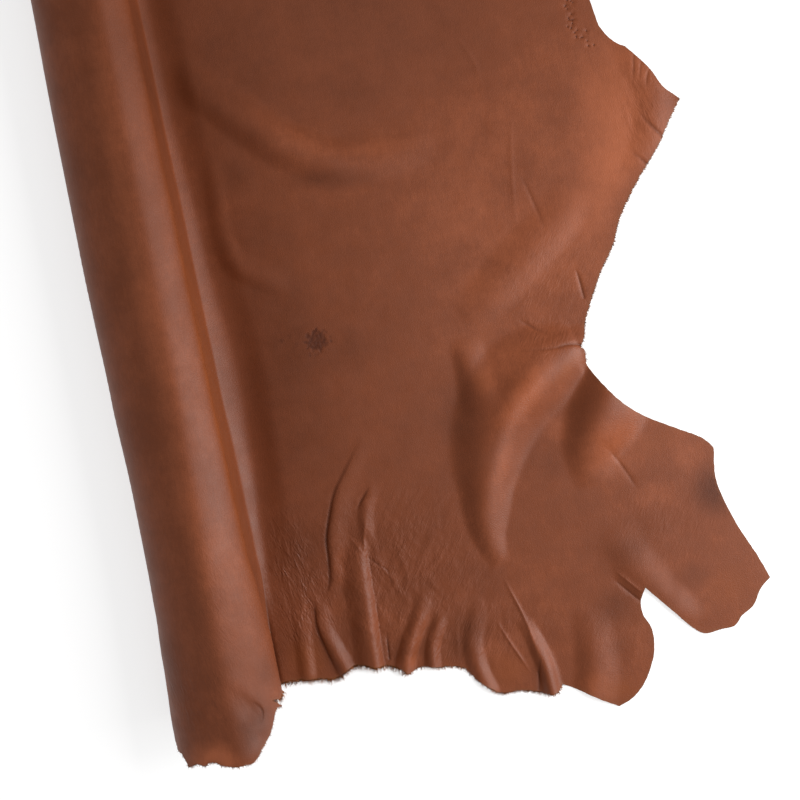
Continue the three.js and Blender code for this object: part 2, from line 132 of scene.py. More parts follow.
# Folds of the flat part. Each crest runs through points of (across, along, height, left, right): left
# and right are how far its two sides reach, seen by someone who walks along the crest.
FOLDS = [
    ("rise beside the roll", [(150, 1500, 0, 300, 110), (140, 1100, 8, 300, 110), (140, 900, 8, 300, 110),
     (152, 760, 9, 300, 115), (178, 620, 10, 300, 135), (176, 520, 10, 300, 135), (158, 430, 10, 300, 120),
     (145, 330, 8, 300, 110), (138, 200, 0, 300, 100)]),
    ("long ripple", [(84, 905, 0, 34, 26), (106, 868, 5, 36, 28), (140, 834, 8, 38, 30),
     (168, 804, 10, 38, 32), (196, 776, 11, 38, 32), (226, 755, 10, 38, 34), (260, 739, 8, 36, 34),
     (300, 730, 5, 34, 32), (348, 729, 3, 32, 30), (400, 738, 0, 30, 28)]),
    ("short ripple", [(110, 775, 0, 20, 12), (105, 725, 2, 20, 13), (100, 684, 3.5, 22, 15),
     (102, 656, 4.5, 24, 17), (112, 634, 5, 24, 18), (130, 617, 5, 24, 18), (152, 604, 3, 24, 18),
     (178, 590, 0, 24, 18)]),
    ("main ridge", [(532, 438, 8, 32, 34), (519, 435, 13, 40, 46), (479, 417, 20, 52, 70),
     (438, 388, 21, 54, 72), (407, 349, 19, 49, 66), (388, 313, 17, 44, 54), (377, 281, 14, 38, 40),
     (368, 243, 10, 34, 28), (370, 209, 5, 22, 20), (377, 180, 0, 16, 14)]),
    ("spur of the main ridge", [(382, 480, 0, 30, 16), (386, 450, 5, 32, 20), (389, 425, 7, 32, 24),
     (391, 400, 5, 30, 28), (394, 375, 0, 28, 28)]),
    ("rise of the hind shank", [(570, 391, 16, 56, 44), (553, 362, 20, 60, 46), (533, 335, 18, 58, 44),
     (520, 310, 12, 50, 38), (515, 284, 5, 42, 30), (516, 256, 0, 34, 24)]),
    ("flank, upper crease", [(570, 646, 0, 30, 34), (538, 604, 3, 34, 38), (502, 577, 4.5, 34, 40),
     (466, 550, 4.5, 34, 40), (430, 526, 3.5, 32, 36), (390, 504, 0, 28, 32)]),
    ("belly edge", [(662, 826, 0, 30, 26), (680, 785, 3, 30, 28), (692, 742, 4, 30, 30),
     (676, 690, 3, 26, 26), (645, 640, 0, 24, 24)]),
    ("notch", [(532, 205, 0, 36, 26), (538, 168, 2, 38, 30), (549, 142, 4, 36, 32), (562, 122, 5, 34, 32)]),
    ("hind shank, lower edge", [(562, 118, 0, 30, 26), (586, 84, 5, 32, 26), (612, 54, 0, 26, 24)]),
    ("lobe", [(480, 105, 0, 30, 24), (475, 65, 4, 34, 26), (471, 28, 6, 36, 28), (462, -8, 7, 36, 28)]),
    ("crease from the butt", [(238, 386, 0, 20, 6), (207, 344, 1.5, 22, 6), (189, 318, 2, 24, 7),
     (177, 286, 3, 24, 8), (168, 257, 3, 24, 8), (165, 231, 3, 20, 8), (160, 204, 2, 16, 7),
     (153, 188, 0, 14, 6)]),
    ("fold over pucker two", [(236, 318, 0, 14, 7), (225, 303, 2, 14, 8), (217, 282, 3, 14, 10),
     (215, 264, 3, 12, 12), (208, 232, 0, 12, 12)]),
    ("pucker beside the roll", [(112, 200, 0, 14, 14), (106, 136, 3, 14, 14), (102, 90, 5, 14, 14)]),
    ("pucker one", [(137, 190, 0, 14, 9), (134, 170, 2, 15, 9), (134, 148, 4, 16, 10), (140, 124, 6, 16, 11),
     (147, 104, 7, 15, 12), (152, 88, 7, 15, 12)]),
    ("pucker two", [(204, 250, 0, 12, 22), (200, 228, 6, 12, 26), (197, 196, 9, 12, 28),
     (196, 163, 10, 12, 28), (194, 134, 11, 12, 28), (192, 104, 11, 13, 27), (192, 82, 11, 13, 26)]),
    ("pucker three", [(276, 170, 0, 14, 12), (262, 140, 5, 14, 13), (246, 112, 8, 14, 14),
     (233, 86, 10, 14, 14), (228, 66, 10, 14, 14)]),
    ("pucker four", [(291, 142, 0, 12, 10), (281, 118, 4, 12, 10), (271, 100, 6, 12, 10),
     (266, 82, 7, 12, 10), (264, 66, 7, 12, 10)]),
    ("pucker five", [(341, 146, 0, 16, 14), (332, 120, 2, 16, 14), (324, 98, 3, 16, 15),
     (321, 72, 5, 15, 15), (324, 45, 6, 15, 14), (330, 24, 6, 15, 14)]),
    ("pucker six", [(388, 112, 0, 12, 10), (398, 85, 4, 13, 11), (404, 62, 7, 14, 12), (408, 38, 9, 15, 12),
     (410, 5, 10, 15, 12)]),
]

# Dents of the rolled part, written as the folds are and measured outward from the roll.
DENTS = [
    ("tail, dent", [(-92, 112, 0, 14, 20), (-76, 99, -1.4, 14, 22), (-62, 84, -2.4, 13, 22),
     (-52, 71, -2.8, 12, 20), (-54, 60, -1.8, 12, 16), (-58, 50, 0, 12, 14)]),
    ("tail, end", [(-111, 30, 0, 24, 22), (-87, 22, 3, 26, 22), (-65, 26, 3, 26, 22),
     (-50, 38, 0, 24, 20)]),
]

# Fine creases of the grain side: how far their sides reach, and points of (across, along, height),
# where a height below zero is a groove.
CREASES = [
    ("crease from the butt", 3.0, [(234, 382, 0), (203, 342, -0.7), (184, 316, -1.1), (171, 285, -1.4),
     (162, 257, -1.5), (160, 231, -1.4), (155, 202, -0.9), (147, 190, 0)]),
    ("crease over pucker two", 2.6, [(231, 316, 0), (219, 302, -1.2), (205, 285, 0)]),
    ("pinch, left", 2.2, [(190, 259, 0), (198, 243, 0.7), (205, 228, 0.4)]),
    ("pinch, top", 2.4, [(217, 277, 0), (213, 262, 0.9), (207, 240, 1.0), (205, 226, 0)]),
    ("pinch, right", 2.2, [(206, 229, 0), (220, 214, -0.7), (231, 203, -0.7), (233, 177, 0)]),
    ("line in pucker one", 2.4, [(130, 180, 0), (129, 168, -1.2), (128, 148, -1.4), (133, 124, -1.2),
     (138, 103, -0.8), (142, 90, 0)]),
    ("butt, short crease", 2.0, [(215, 126, 0), (213, 112, -1.1), (211, 90, -1.3)]),
    ("thin ridge one", 2.4, [(357, 112, 0), (366, 88, 0.9), (377, 62, 1.0), (388, 36, 0)]),
    ("thin ridge two", 2.4, [(377, 164, 0), (385, 138, 0.8), (392, 114, 1.1), (400, 73, 0.8),
     (404, 52, 0)]),
    ("groove by pucker six", 2.4, [(404, 56, 0), (400, 38, -1.2), (394, 12, -1.0)]),
    ("flank nick, line", 2.6, [(534, 441, -1.4), (519, 444, -1.2), (494, 443, -0.7),
     (437, 451, 0)]),
    ("flank, short crease", 3.0, [(462, 488, 0), (469, 483, -0.8), (480, 473, -0.9), (494, 461, 0)]),
    ("flank, edge crease", 2.4, [(547, 540, 0), (549, 530, -0.9), (551, 500, -0.9)]),
    ("flank, long line", 4.0, [(506, 756, 0), (498, 720, 0.3), (491, 679, 0.4), (481, 601, 0)]),
    ("flank, long groove", 3.4, [(501, 676, 0), (508, 648, -0.5), (512, 630, -0.6), (520, 586, 0)]),
    ("belly, line one", 2.4, [(676, 800, -0.5), (672, 780, -0.6), (667, 758, 0)]),
    ("belly, line two", 2.4, [(684, 790, -0.4), (680, 776, -0.6), (677, 764, 0)]),
    ("belly, line three", 2.4, [(692, 776, -0.4), (687, 766, -0.6), (683, 750, 0)]),
    ("belly, edge groove", 4.0, [(668, 722, 0), (676, 708, -1.0), (684, 696, -1.4), (691, 686, -1.0)]),
    ("flank, edge groove", 3.4, [(646, 676, 0), (656, 666, -0.7), (664, 655, -0.9)]),
    ("faint line", 4.0, [(448, 876, 0), (462, 850, 0.3), (472, 822, 0.3), (475, 786, 0)]),
    ("shank crease", 3.0, [(538, 309, 0), (551, 288, -0.5), (562, 264, -0.6), (572, 240, 0)]),
    ("beside the notch", 2.6, [(516, 136, 0), (529, 120, -1.0), (546, 100, -0.9)]),
    ("notch streak one", 2.4, [(520, 146, 0), (533, 131, 0.9), (549, 112, 0.8)]),
    ("tail, dent line", 2.6, [(-56, 88, 0), (-46, 77, -0.8), (-43, 70, -1.1), (-47, 58, 0)]),
    # Its groove also paints the dark shade of the crevice where the roll meets the flat.
    ("foot of the roll", 3.2, [(66, 88, -1.4), (66, 130, -1.4), (66, 170, -1.2),
     (67, 205, -1.0), (70, 240, 0)]),
]

# Patches of the grain as seen from above: (X, Y, half width, half length, turn in degrees, amount).
# In this table the amount is how much rougher the patch is.
DULL = [
    ("roll at the tail", 20, 130, 70, 220, 0, 0.14),
    ("roll, shoulder", 30, 560, 44, 420, 0, 0.07),
    ("below the notch", 592, 122, 60, 60, 0, 0.10),
    ("top of the view", 330, 930, 330, 190, 0, 0.10),
    ("main ridge, lit side", 440, 385, 90, 40, 45, -0.12),
    ("top of the shank", 564, 318, 60, 40, 24, -0.10),
    ("end of the shank", 650, 180, 70, 90, 0, 0.12),
]

# Lighter and darker patches, place by place. Some are the leather's own uneven tone; most are painted light
# and shade on the folds, beside the roll, on the tail and on the roll itself.
PAINTED_LIGHT_AND_TONES = [
    # The first two rows are painted fall-off of the light, darker toward the top and the left of the view.
    ("top of the view", 330, 930, 330, 190, 0, -0.28),
    ("left half of the flat", 250, 380, 210, 440, 0, -0.16),
    ("middle", 450, 640, 190, 220, 0, 0.12),
    ("middle, left", 410, 540, 60, 40, 0, 0.22),
    # These three rows are painted shade on the flat beside the roll.
    ("beside the roll, upper", 150, 850, 110, 210, 0, -0.20),
    ("beside the roll", 150, 500, 90, 220, 0, -0.34),
    ("beside the roll, low", 128, 245, 50, 90, 0, -0.36),
    ("round the scar", 185, 515, 80, 45, 0, -0.10),
    ("beyond the scar", 236, 494, 44, 44, 0, -0.26),
    # Painted light and shade round the long ripple: lighter on its lit side, darker on its shaded side and
    # about it.
    ("above the ripple", 310, 825, 70, 50, 0, -0.30),
    ("long ripple, light", 205, 790, 150, 22, -36, 0.16),
    ("long ripple, light end", 330, 744, 110, 13, -3, 0.16),
    ("long ripple, dark", 255, 716, 85, 20, -8, -0.46),
    ("below the ripple", 145, 745, 60, 40, 0, -0.30),
    ("flank", 460, 470, 100, 70, 0, 0.16),
    ("flank, upper", 562, 690, 60, 50, 0, 0.20),
    ("flank, pale", 540, 575, 120, 100, 30, 0.24),
    ("flank, edge", 606, 640, 46, 100, -35, 0.44),
    ("belly side", 645, 740, 90, 140, -10, 0.56),
    # Painted light and shade round the main ridge and the rise of the hind shank: lit sides lighter, the
    # foot and the slopes beside and below it darker, and slopes that the folds shade too deeply lightened.
    ("above the main ridge", 428, 436, 60, 30, 30, 0.44),
    ("left of the main ridge", 362, 376, 38, 80, 0, -0.36),
    ("main ridge, lit side", 452, 392, 84, 26, 42, 0.54),
    ("main ridge, lit side, lower", 408, 318, 18, 52, -28, 0.34),
    ("main ridge, foot", 440, 312, 18, 46, -28, -0.26),
    ("left of the ridge's foot", 340, 262, 30, 44, 0, 0.24),
    ("below the ridge", 480, 235, 60, 50, 0, -0.28),
    ("below the trough", 462, 290, 40, 32, 20, -0.26),
    ("trough by the shank", 486, 342, 26, 30, 20, 0.34),
    ("top of the shank", 552, 312, 70, 46, 24, 0.32),
    ("below the shank's top", 560, 180, 110, 60, 0, -0.20),
    ("shank, upper corner", 645, 275, 40, 32, 0, 0.28),
    ("shank, upper", 556, 276, 50, 30, 0, 0.24),
    ("shank, middle", 590, 228, 40, 30, 0, 0.22),
    ("shank, low", 622, 118, 30, 26, 0, -0.34),
    ("end of the shank", 670, 222, 42, 46, 0, -0.95),
    ("above the notch", 540, 166, 34, 26, 0, -0.16),
    ("neck of the lobe", 512, 98, 46, 40, 0, -0.50),
    ("lobe, right", 510, 46, 26, 36, 0, -0.36),
    ("lobe, tip", 466, 4, 30, 34, 0, 0.28),
    ("butt, upper", 355, 165, 60, 36, 0, -0.30),
    ("butt, upper left", 270, 165, 60, 34, 0, -0.18),
    ("butt, beside pucker two", 182, 216, 28, 36, 0, 0.22),
    # These three rows are painted shade in the hollows of the butt.
    ("butt, dark hollow", 316, 108, 40, 40, 0, -0.40),
    ("butt, low hollow", 300, 84, 22, 26, 0, -0.36),
    ("butt, low hollow two", 422, 84, 22, 26, 0, -0.30),
    ("butt, hem", 240, 80, 40, 18, 0, 0.26),
    ("butt, hem right", 344, 78, 22, 28, 0, 0.26),
    ("butt, right", 390, 60, 70, 50, 0, 0.22),
    # Painted light and shade on the tail: darker on its sides and where it lies over the butt, lighter at
    # its end and underside.
    ("tail, over the butt", 62, 118, 20, 34, 0, -0.40),
    ("tail, right side", 32, 56, 42, 58, 0, -0.75),
    ("tail, left side", -62, 140, 34, 60, 0, -0.34),
    ("tail, end", -24, 18, 46, 42, 0, 1.00),
    ("tail, underside", -14, 22, 26, 30, 0, 0.5),
    # Most of these rows are painted light and shade on the roll: its wall and right side darker, its
    # shoulder and top lighter, and its shaded left side lighter.
    ("roll, wall", 59, 560, 7, 560, 0.8, -0.30),
    ("roll, right side", 46, 910, 36, 130, 0, -0.36),
    ("roll, shoulder", 25, 560, 30, 190, 0, 0.06),
    ("roll, shoulder at the tail", 25, 260, 36, 110, 0, 0.16),
    ("roll, top left", 7, 540, 24, 560, 0, 0.20),
    ("roll, top left, upper", 6, 740, 24, 240, 0, 0.16),
    ("roll, dark patch", -12, 455, 34, 70, 0, -0.10),
    ("roll, left side", -40, 540, 36, 700, 0, 0.11),
    ("roll, left side, upper", -40, 870, 36, 120, 0, 0.12),
    ("roll, left side, low", -36, 255, 36, 80, 0, 0.13),
]

# Patches of pull-up, where stretched leather turns brighter. The band on the roll's right wall is partly
# pull-up and partly painted light: the saturated light of a wall that shows no sheen.
PULL_UP_AND_WALL_LIGHT = [
    # Pull-up and painted light together: the saturated light of the roll's right wall.
    ("right wall of the roll", 60, 480, 6, 420, 0.8, 0.80),
    ("main ridge, upper end", 512, 416, 42, 15, 38, 0.80),
    ("belly corner", 636, 770, 32, 50, -20, 0.20),
    ("butt edge", 356, 46, 44, 32, 0, 0.55),
    ("lobe", 497, -9, 34, 26, 0, 0.55),
    ("shank, top", 612, 300, 54, 28, 30, 0.30),
    ("shank, end", 664, 97, 44, 38, 0, 0.45),
    ("spur", 402, 420, 18, 28, 0, 0.30),
    ("beside the roll at the butt", 110, 112, 40, 40, 0, 0.60),
]

# Wrinkles of loose grain: patches with the wrinkles' spacing, length and lean in degrees. Where they are
# closer than FINE_SPACING, the bump has fine wrinkles too.
LOOSE = [
    ("butt, leaning left", 190, 190, 190, 150, 0, 0.50, 13, 46, 30),
    ("butt, leaning right", 250, 200, 200, 150, 0, 0.60, 12, 60, -36),
    ("beside the roll", 112, 210, 50, 150, 0, 0.80, 12, 46, 6),
    ("butt, broad", 205, 185, 140, 130, 0, 1.3, 27, 80, 14),
    ("butt, broad and crossing", 290, 165, 130, 120, 0, 1.0, 24, 80, -28),
    ("butt hem", 300, 90, 200, 70, 0, 0.55, 11, 70, -18),
    ("flank, fan", 505, 540, 110, 110, 0, 0.30, 12, 110, -50),
    ("nick, fan", 490, 455, 70, 40, 0, 0.45, 11, 100, -78),
    ("belly", 672, 730, 52, 100, -12, 0.45, 9, 120, 14),
    ("shank", 600, 190, 130, 120, 0, 0.30, 15, 60, -40),
    ("lobe", 500, 60, 80, 90, 0, 0.35, 14, 60, -30),
    ("tail on the roll", -20, 110, 130, 110, 0, 0.40, 12, 40, 25),
    ("roll at the tail", 20, 240, 60, 110, 0, 0.30, 11, 40, 28),
]
FINE_SPACING = 20.0
LEAST_WRINKLE = 0.01  # amount below which a patch has no wrinkles
WRINKLE_POWER = 3     # how narrow their crests are

# Fine wrinkles: lean in degrees, spacing and length in metres
FINE_WRINKLES = [("loose_left", 14, 0.0034, 0.010), ("loose_right", -36, 0.0032, 0.012)]

# Dark specks
MARKS = [
    ("dot one", 155, 522, 5, 5, 0, 0.6),
    ("dot two", 166, 524, 4, 4, 0, 0.4),
    ("dot three", 175, 513, 4, 4, 0, 0.4),
    ("shank mark", 648, 235, 14, 11, 0, 0.14),
]
SCAR = {"middle": (200, 513), "half": (14, 15), "depth": 0.5, "border": (1.15, 0.7), "tone": 0.85}
PITS = {
    "along": ((606, 884), (607, 852), (623, 826)), "spread": 5.0, "count": 26, "reach": 1.4, "depth": 0.8,
    "rings": ((0, 1), (0.55, 6), (1.1, 8)),    # shares of the reach, and points in each ring
    "seed": 5,
}
CREASE_SHADE = 0.4    # how much darker painted shade makes a groove for each millimetre of its depth, and the most
CREASE_DARKEST = 0.5  # and the most

# Smooth noises of the sheet: length of their waves, layer of the noise, and amount
NOISES = {
    "cut edge": (7, 31, 1.0),
    "cut edge, fine": (3, 32, 0.7),
    "scar": (5, 33, 1.0),
    "scar border": (6, 35, 0.5),
    "scar border, fine": (3, 36, 0.4),
    "scar tone": (4, 37, 0.6),
    "grain": (30, 1, 0.16),
    "grain, fine": (11, 2, 0.05),
    "wrinkles": (40, 34, 10.0),
}
WRINKLE_LAYER = 3  # layer of the noise for the first row of LOOSE

# How closely the grain side is divided: ranges across and along, and the step there. A point takes the
# step of the first zone that holds it.
ZONES = [
    ("scar", (182, 220), (494, 534), 1.5),
    ("puckers", (84, 420), (-10, 300), 2.7),
    ("flank", (420, 610), (400, 690), 3.4),
    ("belly", (620, 725), (640, 830), 2.8),
    ("flat, in view", (84, 730), (-40, 900), 4.6),
    ("flat, top of the view", (84, 420), (900, 1015), 6.5),
    ("tail on the roll", (-200, 84), (0, 130), 3.4),
    ("turn-up in view", (0, 84), (130, 1050), 4.2),
    ("roll, in view", (-215, 84), (0, 1050), 6.5),
    ("all else", (BACKBONE, 760), (-60, 2060), 14.0),
]
ZONE_STEPS = np.array([step for *_, step in ZONES])
FLESH_SHARE = 2.2    # times the step that the smoother flesh side takes,
LARGEST_STEP = 14.0  # and the most
EDGE_SHARE = 0.75    # step along the cut edge, as a share of the zone's
CLEAR_SHARE = 0.62   # clearance from points already taken, as such a share
STRAY_SHARE = 0.06   # how far points stray from their rows, as such a share
STRAY_SEED = 7

# Points along creases: rows in shares of the reach, step along them, side of the squares that keep one
# point each, and distance from the cut edge
CREASE_ROWS = (-1.0, -0.5, 0.0, 0.5, 1.0)
CREASE_STEP = 2.2
CREASE_CELL = 1.0
EDGE_CLEAR = 1.2

# Edge fibres, in millimetres
FIBRE_RADII = (0.16, 0.40)
FIBRE_TAPER = 0.75           # radius halfway, as a share of the root's
FIBRE_LENGTHS = (0.15, 1.9)  # least and most, as shares of the stretch's reach
FIBRE_SPREAD = (-0.75, 0.8)  # mean and spread of the logarithm of that share
FIBRE_DEPTHS = (0.15, 0.85)  # where they come out, as shares of the thickness
FIBRE_ROOT = 0.4             # how deep their roots are
FIBRE_TURN = (0.6, 0.3)      # how far they turn along the edge and out of the sheet
FIBRE_BEND = 0.45            # how far their outer half turns off,
FIBRE_SAG = 0.25             # and how far it hangs
FIBRE_CLEAR = 0.3            # least height of their points above the table
FIBRE_SEED = 11

# Colours: stops of a ramp, or one colour with its alpha
GRAIN_TONES = [
    (0.0, (0.084, 0.0192, 0.0047)), (0.5, (0.166, 0.0405, 0.0126)), (1.0, (0.335, 0.0900, 0.0330)),
]
FLESH_TONES = [(0.3, (0.15, 0.07, 0.04)), (0.7, (0.26, 0.135, 0.08))]
FIBRE_TONES = [(0.3, (0.10, 0.030, 0.009)), (0.7, (0.30, 0.098, 0.030))]
PULLED = (0.2, 0.047, 0.0095, 1)
# Colour of the specks, the scar and the pits, and of the painted shade in creases
MARK_AND_CREASE_SHADE = (0.056, 0.012, 0.004, 1)
RIM = (0.17, 0.055, 0.02, 1)
PAPER = (0.52, 0.52, 0.52, 1)
WHITE = (1, 1, 1, 1)

# The stage, in metres
FLOOR_HALF = 8.0
FLOOR_DROP = 0.0004  # how far it lies below the sheet
FLOOR_GLOW = 0.6
SKY_STRENGTH = 0.6


def smooth(low, high, value):
    share = np.clip((value - low) / (high - low), 0.0, 1.0)
    return share * share * (3.0 - 2.0 * share)


def smooth_line(points, shares):
    """Points of a centripetal Catmull-Rom line; shares counts spans from the first point."""
    points = np.asarray(points, float)
    padded = np.vstack([2 * points[0] - points[1], points, 2 * points[-1] - points[-2]])
    shares = np.asarray(shares, float)
    span = np.clip(np.floor(shares).astype(int), 0, len(points) - 2)
    t = (shares - span)[:, None]
    p0, p1, p2, p3 = (padded[span + i] for i in range(4))
    pairs = ((p0, p1), (p1, p2), (p2, p3))
    d0, d1, d2 = (np.sqrt(np.linalg.norm(b - a, axis=1))[:, None] for a, b in pairs)
    out = ((p1 - p0) / d0 - (p2 - p0) / (d0 + d1) + (p2 - p1) / d1) * d1
    back = ((p2 - p1) / d1 - (p3 - p1) / (d1 + d2) + (p3 - p2) / d2) * d1
    square = -3 * p1 + 3 * p2 - 2 * out - back
    cube = 2 * p1 - 2 * p2 + out + back
    return p1 + t * (out + t * (square + t * cube))


def roll_at(along):
    """The roll's sizes at places along it, eased between the rows of the table."""
    stations = ROLL[:, 0]
    row = np.clip(np.searchsorted(stations, along) - 1, 0, len(stations) - 2)
    share = smooth(stations[row], stations[row + 1], along)
    return {
        name: ROLL[row, c] * (1 - share) + ROLL[row + 1, c] * share
        for c, name in enumerate(ROLL_COLUMNS)
    }


def bezier(handles, t):
    weights = ((1 - t) ** 3, 3 * t * (1 - t) ** 2, 3 * t * t * (1 - t), t ** 3)
    return sum(weight * handle for weight, handle in zip(weights, handles))


def roll_section(size):
    """Curves in x and z of the roll's inner face, one row for each place: the turn-up, then the roll."""
    right, lean, wall = size["right"], size["lean"], size["wall"]
    centre = size["half_height"] + THICKNESS - FLAT_SPOT
    top = centre + size["half_height"]
    shoulder_x = (lean, lean + SHOULDER_TOP * (right - lean), right, right)
    shoulder_z = (top, top, wall + SHOULDER_WALL * (top - wall), wall)

    def on_oval(degrees):
        """Places round the roll, from its belly side over its top; those below 0 are under the wall."""
        turn = np.radians(degrees)
        draw = 1 - TIGHTEN * np.maximum(0, degrees - OPEN_TURN)
        power = np.where((np.sin(turn) > 0) & (degrees < 180), 2 / ROOF, 1.0)
        cos = np.sign(np.cos(turn)) * np.abs(np.cos(turn)) ** power
        sin = np.sign(np.sin(turn)) * np.abs(np.sin(turn)) ** power
        half_width = np.where(cos > 0, right, size["left"])
        height = centre + draw * size["half_height"] * sin
        x = draw * half_width * cos + np.where(degrees < 180, lean * np.maximum(sin, 0) ** 2, 0)
        z = np.where(degrees > 180, np.maximum(height, THICKNESS), height)
        t = np.clip(1 - degrees / 90, 0, 1)
        under, over = degrees < 0, degrees < 90
        x = np.where(under, right * np.cos(turn), np.where(over, bezier(shoulder_x, t), x))
        z = np.where(under, wall * (1 + np.sin(turn)), np.where(over, bezier(shoulder_z, t), z))
        return x, z

    meet_x, meet_z = on_oval(size["leave"])
    past_x, past_z = on_oval(size["leave"] + 1)
    rise_x, rise_z = past_x - meet_x, past_z - meet_z
    reach = TURN_UP_BACK * meet_z / np.hypot(rise_x, rise_z)
    out = TURN_UP_OUT * (size["valley"] - meet_x)
    slope = SKIRT_POWER * size["rise"] / size["skirt"]
    t = np.linspace(0, 1, SECTION_STEPS[0] + 1)[None, :]
    turn_x = bezier((size["valley"], size["valley"] - out, meet_x - rise_x * reach, meet_x), t)
    turn_z = bezier((size["rise"], size["rise"] + out * slope, meet_z - rise_z * reach, meet_z), t)
    shares = np.linspace(0, 1, SECTION_STEPS[1] + 1)[None, 1:]
    oval_x, oval_z = on_oval(size["leave"] + (LAST_TURN - size["leave"]) * shares)
    return np.hstack([turn_x, oval_x]), np.hstack([turn_z, oval_z])


def place_in_roll(across, along):
    """Points of the rolled part on its inner face, and the directions from there to the grain side."""
    size = {name: value[:, None] for name, value in roll_at(along).items()}
    x, z = roll_section(size)
    steps = np.hypot(np.diff(x, axis=1), np.diff(z, axis=1))
    lengths = np.hstack([np.zeros((len(x), 1)), np.cumsum(steps, axis=1)])
    wound = size["valley"] - across[:, None]
    after = np.clip((lengths < wound).sum(axis=1), 1, x.shape[1] - 1)
    rows = np.arange(len(x))
    share = (wound[:, 0] - lengths[rows, after - 1]) / (lengths[rows, after] - lengths[rows, after - 1])
    at = [v[rows, after - 1] * (1 - share) + v[rows, after] * share for v in (x, z)]
    low, high = np.maximum(after - 2, 0), np.minimum(after + 1, x.shape[1] - 1)
    heading = np.stack([v[rows, high] - v[rows, low] for v in (x, z)])
    heading /= np.linalg.norm(heading, axis=0)
    inner = np.stack([at[0], along, at[1]], axis=1)
    out = np.stack([heading[1], np.zeros(len(x)), -heading[0]], axis=1)
    return inner, out


def line_field(line, across, along):
    """For each place its distance from a line, its side (left is positive) and the line's values there."""
    nearest = np.full(len(across), np.inf)
    side = np.zeros(len(across))
    values = np.zeros((len(across), line.shape[1] - 2))
    for a, b in zip(line[:-1], line[1:]):
        dx, dy = b[0] - a[0], b[1] - a[1]
        t = np.clip(((across - a[0]) * dx + (along - a[1]) * dy) / (dx * dx + dy * dy), 0, 1)
        gap_x, gap_y = across - a[0] - t * dx, along - a[1] - t * dy
        gap = np.hypot(gap_x, gap_y)
        closer = gap < nearest
        nearest[closer] = gap[closer]
        side[closer] = (dx * gap_y - dy * gap_x)[closer]
        values[closer] = a[2:] + t[closer, None] * (b[2:] - a[2:])
    return nearest, side, values.T


def drawn_line(points):
    return smooth_line(points, np.linspace(0, len(points) - 1, LINE_STEPS * (len(points) - 1) + 1))


def raised(lines, across, along):
    """Height of soft ridges, each along a line of (across, along, height, left, right)."""
    total = np.zeros(len(across))
    for line in lines:
        reach = line[:, 3:].max()
        low, high = line.min(axis=0) - reach, line.max(axis=0) + reach
        near = (across > low[0]) & (across < high[0]) & (along > low[1]) & (along < high[1])
        if near.any():
            gap, side, (height, left, right) = line_field(line, across[near], along[near])
            share = np.minimum(gap / np.where(side > 0, left, right), 1)
            total[near] += height * (1 - share ** 2) ** 2
    return total


FOLD_LINES = [drawn_line(crest) for _, crest in FOLDS]
DENT_LINES = [drawn_line(crest) for _, crest in DENTS]
CREASE_LINES = [drawn_line([(*point, reach, reach) for point in points]) for _, reach, points in CREASES]
PIT_CENTRES = smooth_line(PITS["along"], np.linspace(0, len(PITS["along"]) - 1, PITS["count"]))
PIT_CENTRES += np.random.default_rng(PITS["seed"]).normal(0, PITS["spread"], PIT_CENTRES.shape)


def unit(vectors):
    return vectors / np.linalg.norm(vectors, axis=1)[:, None]


def lift(across, along):
    """Height of the flat part's underside above the table."""
    size = roll_at(along)
    gap = across - size["valley"]
    skirt = size["rise"] * np.maximum(0, 1 - gap / size["skirt"]) ** SKIRT_POWER
    folds = np.maximum(raised(FOLD_LINES, across, along), 0)
    return skirt + folds * smooth(size["skirt"], size["skirt"] + VALLEY_EASE, gap)


def place_on_table(across, along):
    reach = 0.5
    slope_x = (lift(across + reach, along) - lift(across - reach, along)) / (2 * reach)
    slope_y = (lift(across, along + reach) - lift(across, along - reach)) / (2 * reach)
    out = unit(np.stack([-slope_x, -slope_y, np.ones(len(across))], axis=1))
    return np.stack([across, along, lift(across, along)], axis=1), out


def place(across, along):
    inner = np.zeros((len(across), 3))
    out = np.zeros((len(across), 3))
    rolled = across < roll_at(along)["valley"]
    inner[rolled], out[rolled] = place_in_roll(across[rolled], along[rolled])
    inner[rolled] += out[rolled] * raised(DENT_LINES, across[rolled], along[rolled])[:, None]
    inner[~rolled], out[~rolled] = place_on_table(across[~rolled], along[~rolled])
    return inner, out


def zone_of(across, along):
    """The number of the first zone that holds each place."""
    number = np.full(len(across), len(ZONES) - 1)
    for i in reversed(range(len(ZONES))):
        _, (low, high), (near, far), _ = ZONES[i]
        number[(across >= low) & (across <= high) & (along >= near) & (along <= far)] = i
    return number


def wave(across, along, length_across, length_along, turn, layer):
    """Smooth noise from -1 to 1 whose waves have the given lengths, turned by some degrees."""
    cos, sin = math.cos(math.radians(turn)), math.sin(math.radians(turn))
    u = (across * cos + along * sin) / length_across
    v = (along * cos - across * sin) / length_along
    return np.array([noise.noise((a, b, layer)) for a, b in zip(u, v)])


def uneven(name, across, along):
    """One of the smooth noises of the table."""
    length, layer, amount = NOISES[name]
    return amount * wave(across, along, length, length, 0, layer)


def edge_points():
    """Points round the cut edge, with the number of the stretch that each is on."""
    points, stretch_of = [], []
    for number, (_, _, _, ragged, through) in enumerate(OUTLINE):
        corners = np.asarray(through, float)
        for span in range(len(corners) - 1):
            length = np.linalg.norm(corners[span + 1] - corners[span])
            middle = (corners[span] + corners[span + 1]) / 2
            step = ZONE_STEPS[zone_of(middle[:1], middle[1:])[0]] * EDGE_SHARE
            count = max(1, round(length / step))
            drawn = smooth_line(corners, span + np.arange(count) / count)
            ahead = unit(corners[span + 1:span + 2] - corners[span])[0]
            wander = uneven("cut edge", *drawn.T) + uneven("cut edge, fine", *drawn.T)
            points.append(drawn + ragged * wander[:, None] * (ahead[1], -ahead[0]))
            stretch_of += [number] * count
    return np.vstack(points), np.array(stretch_of)


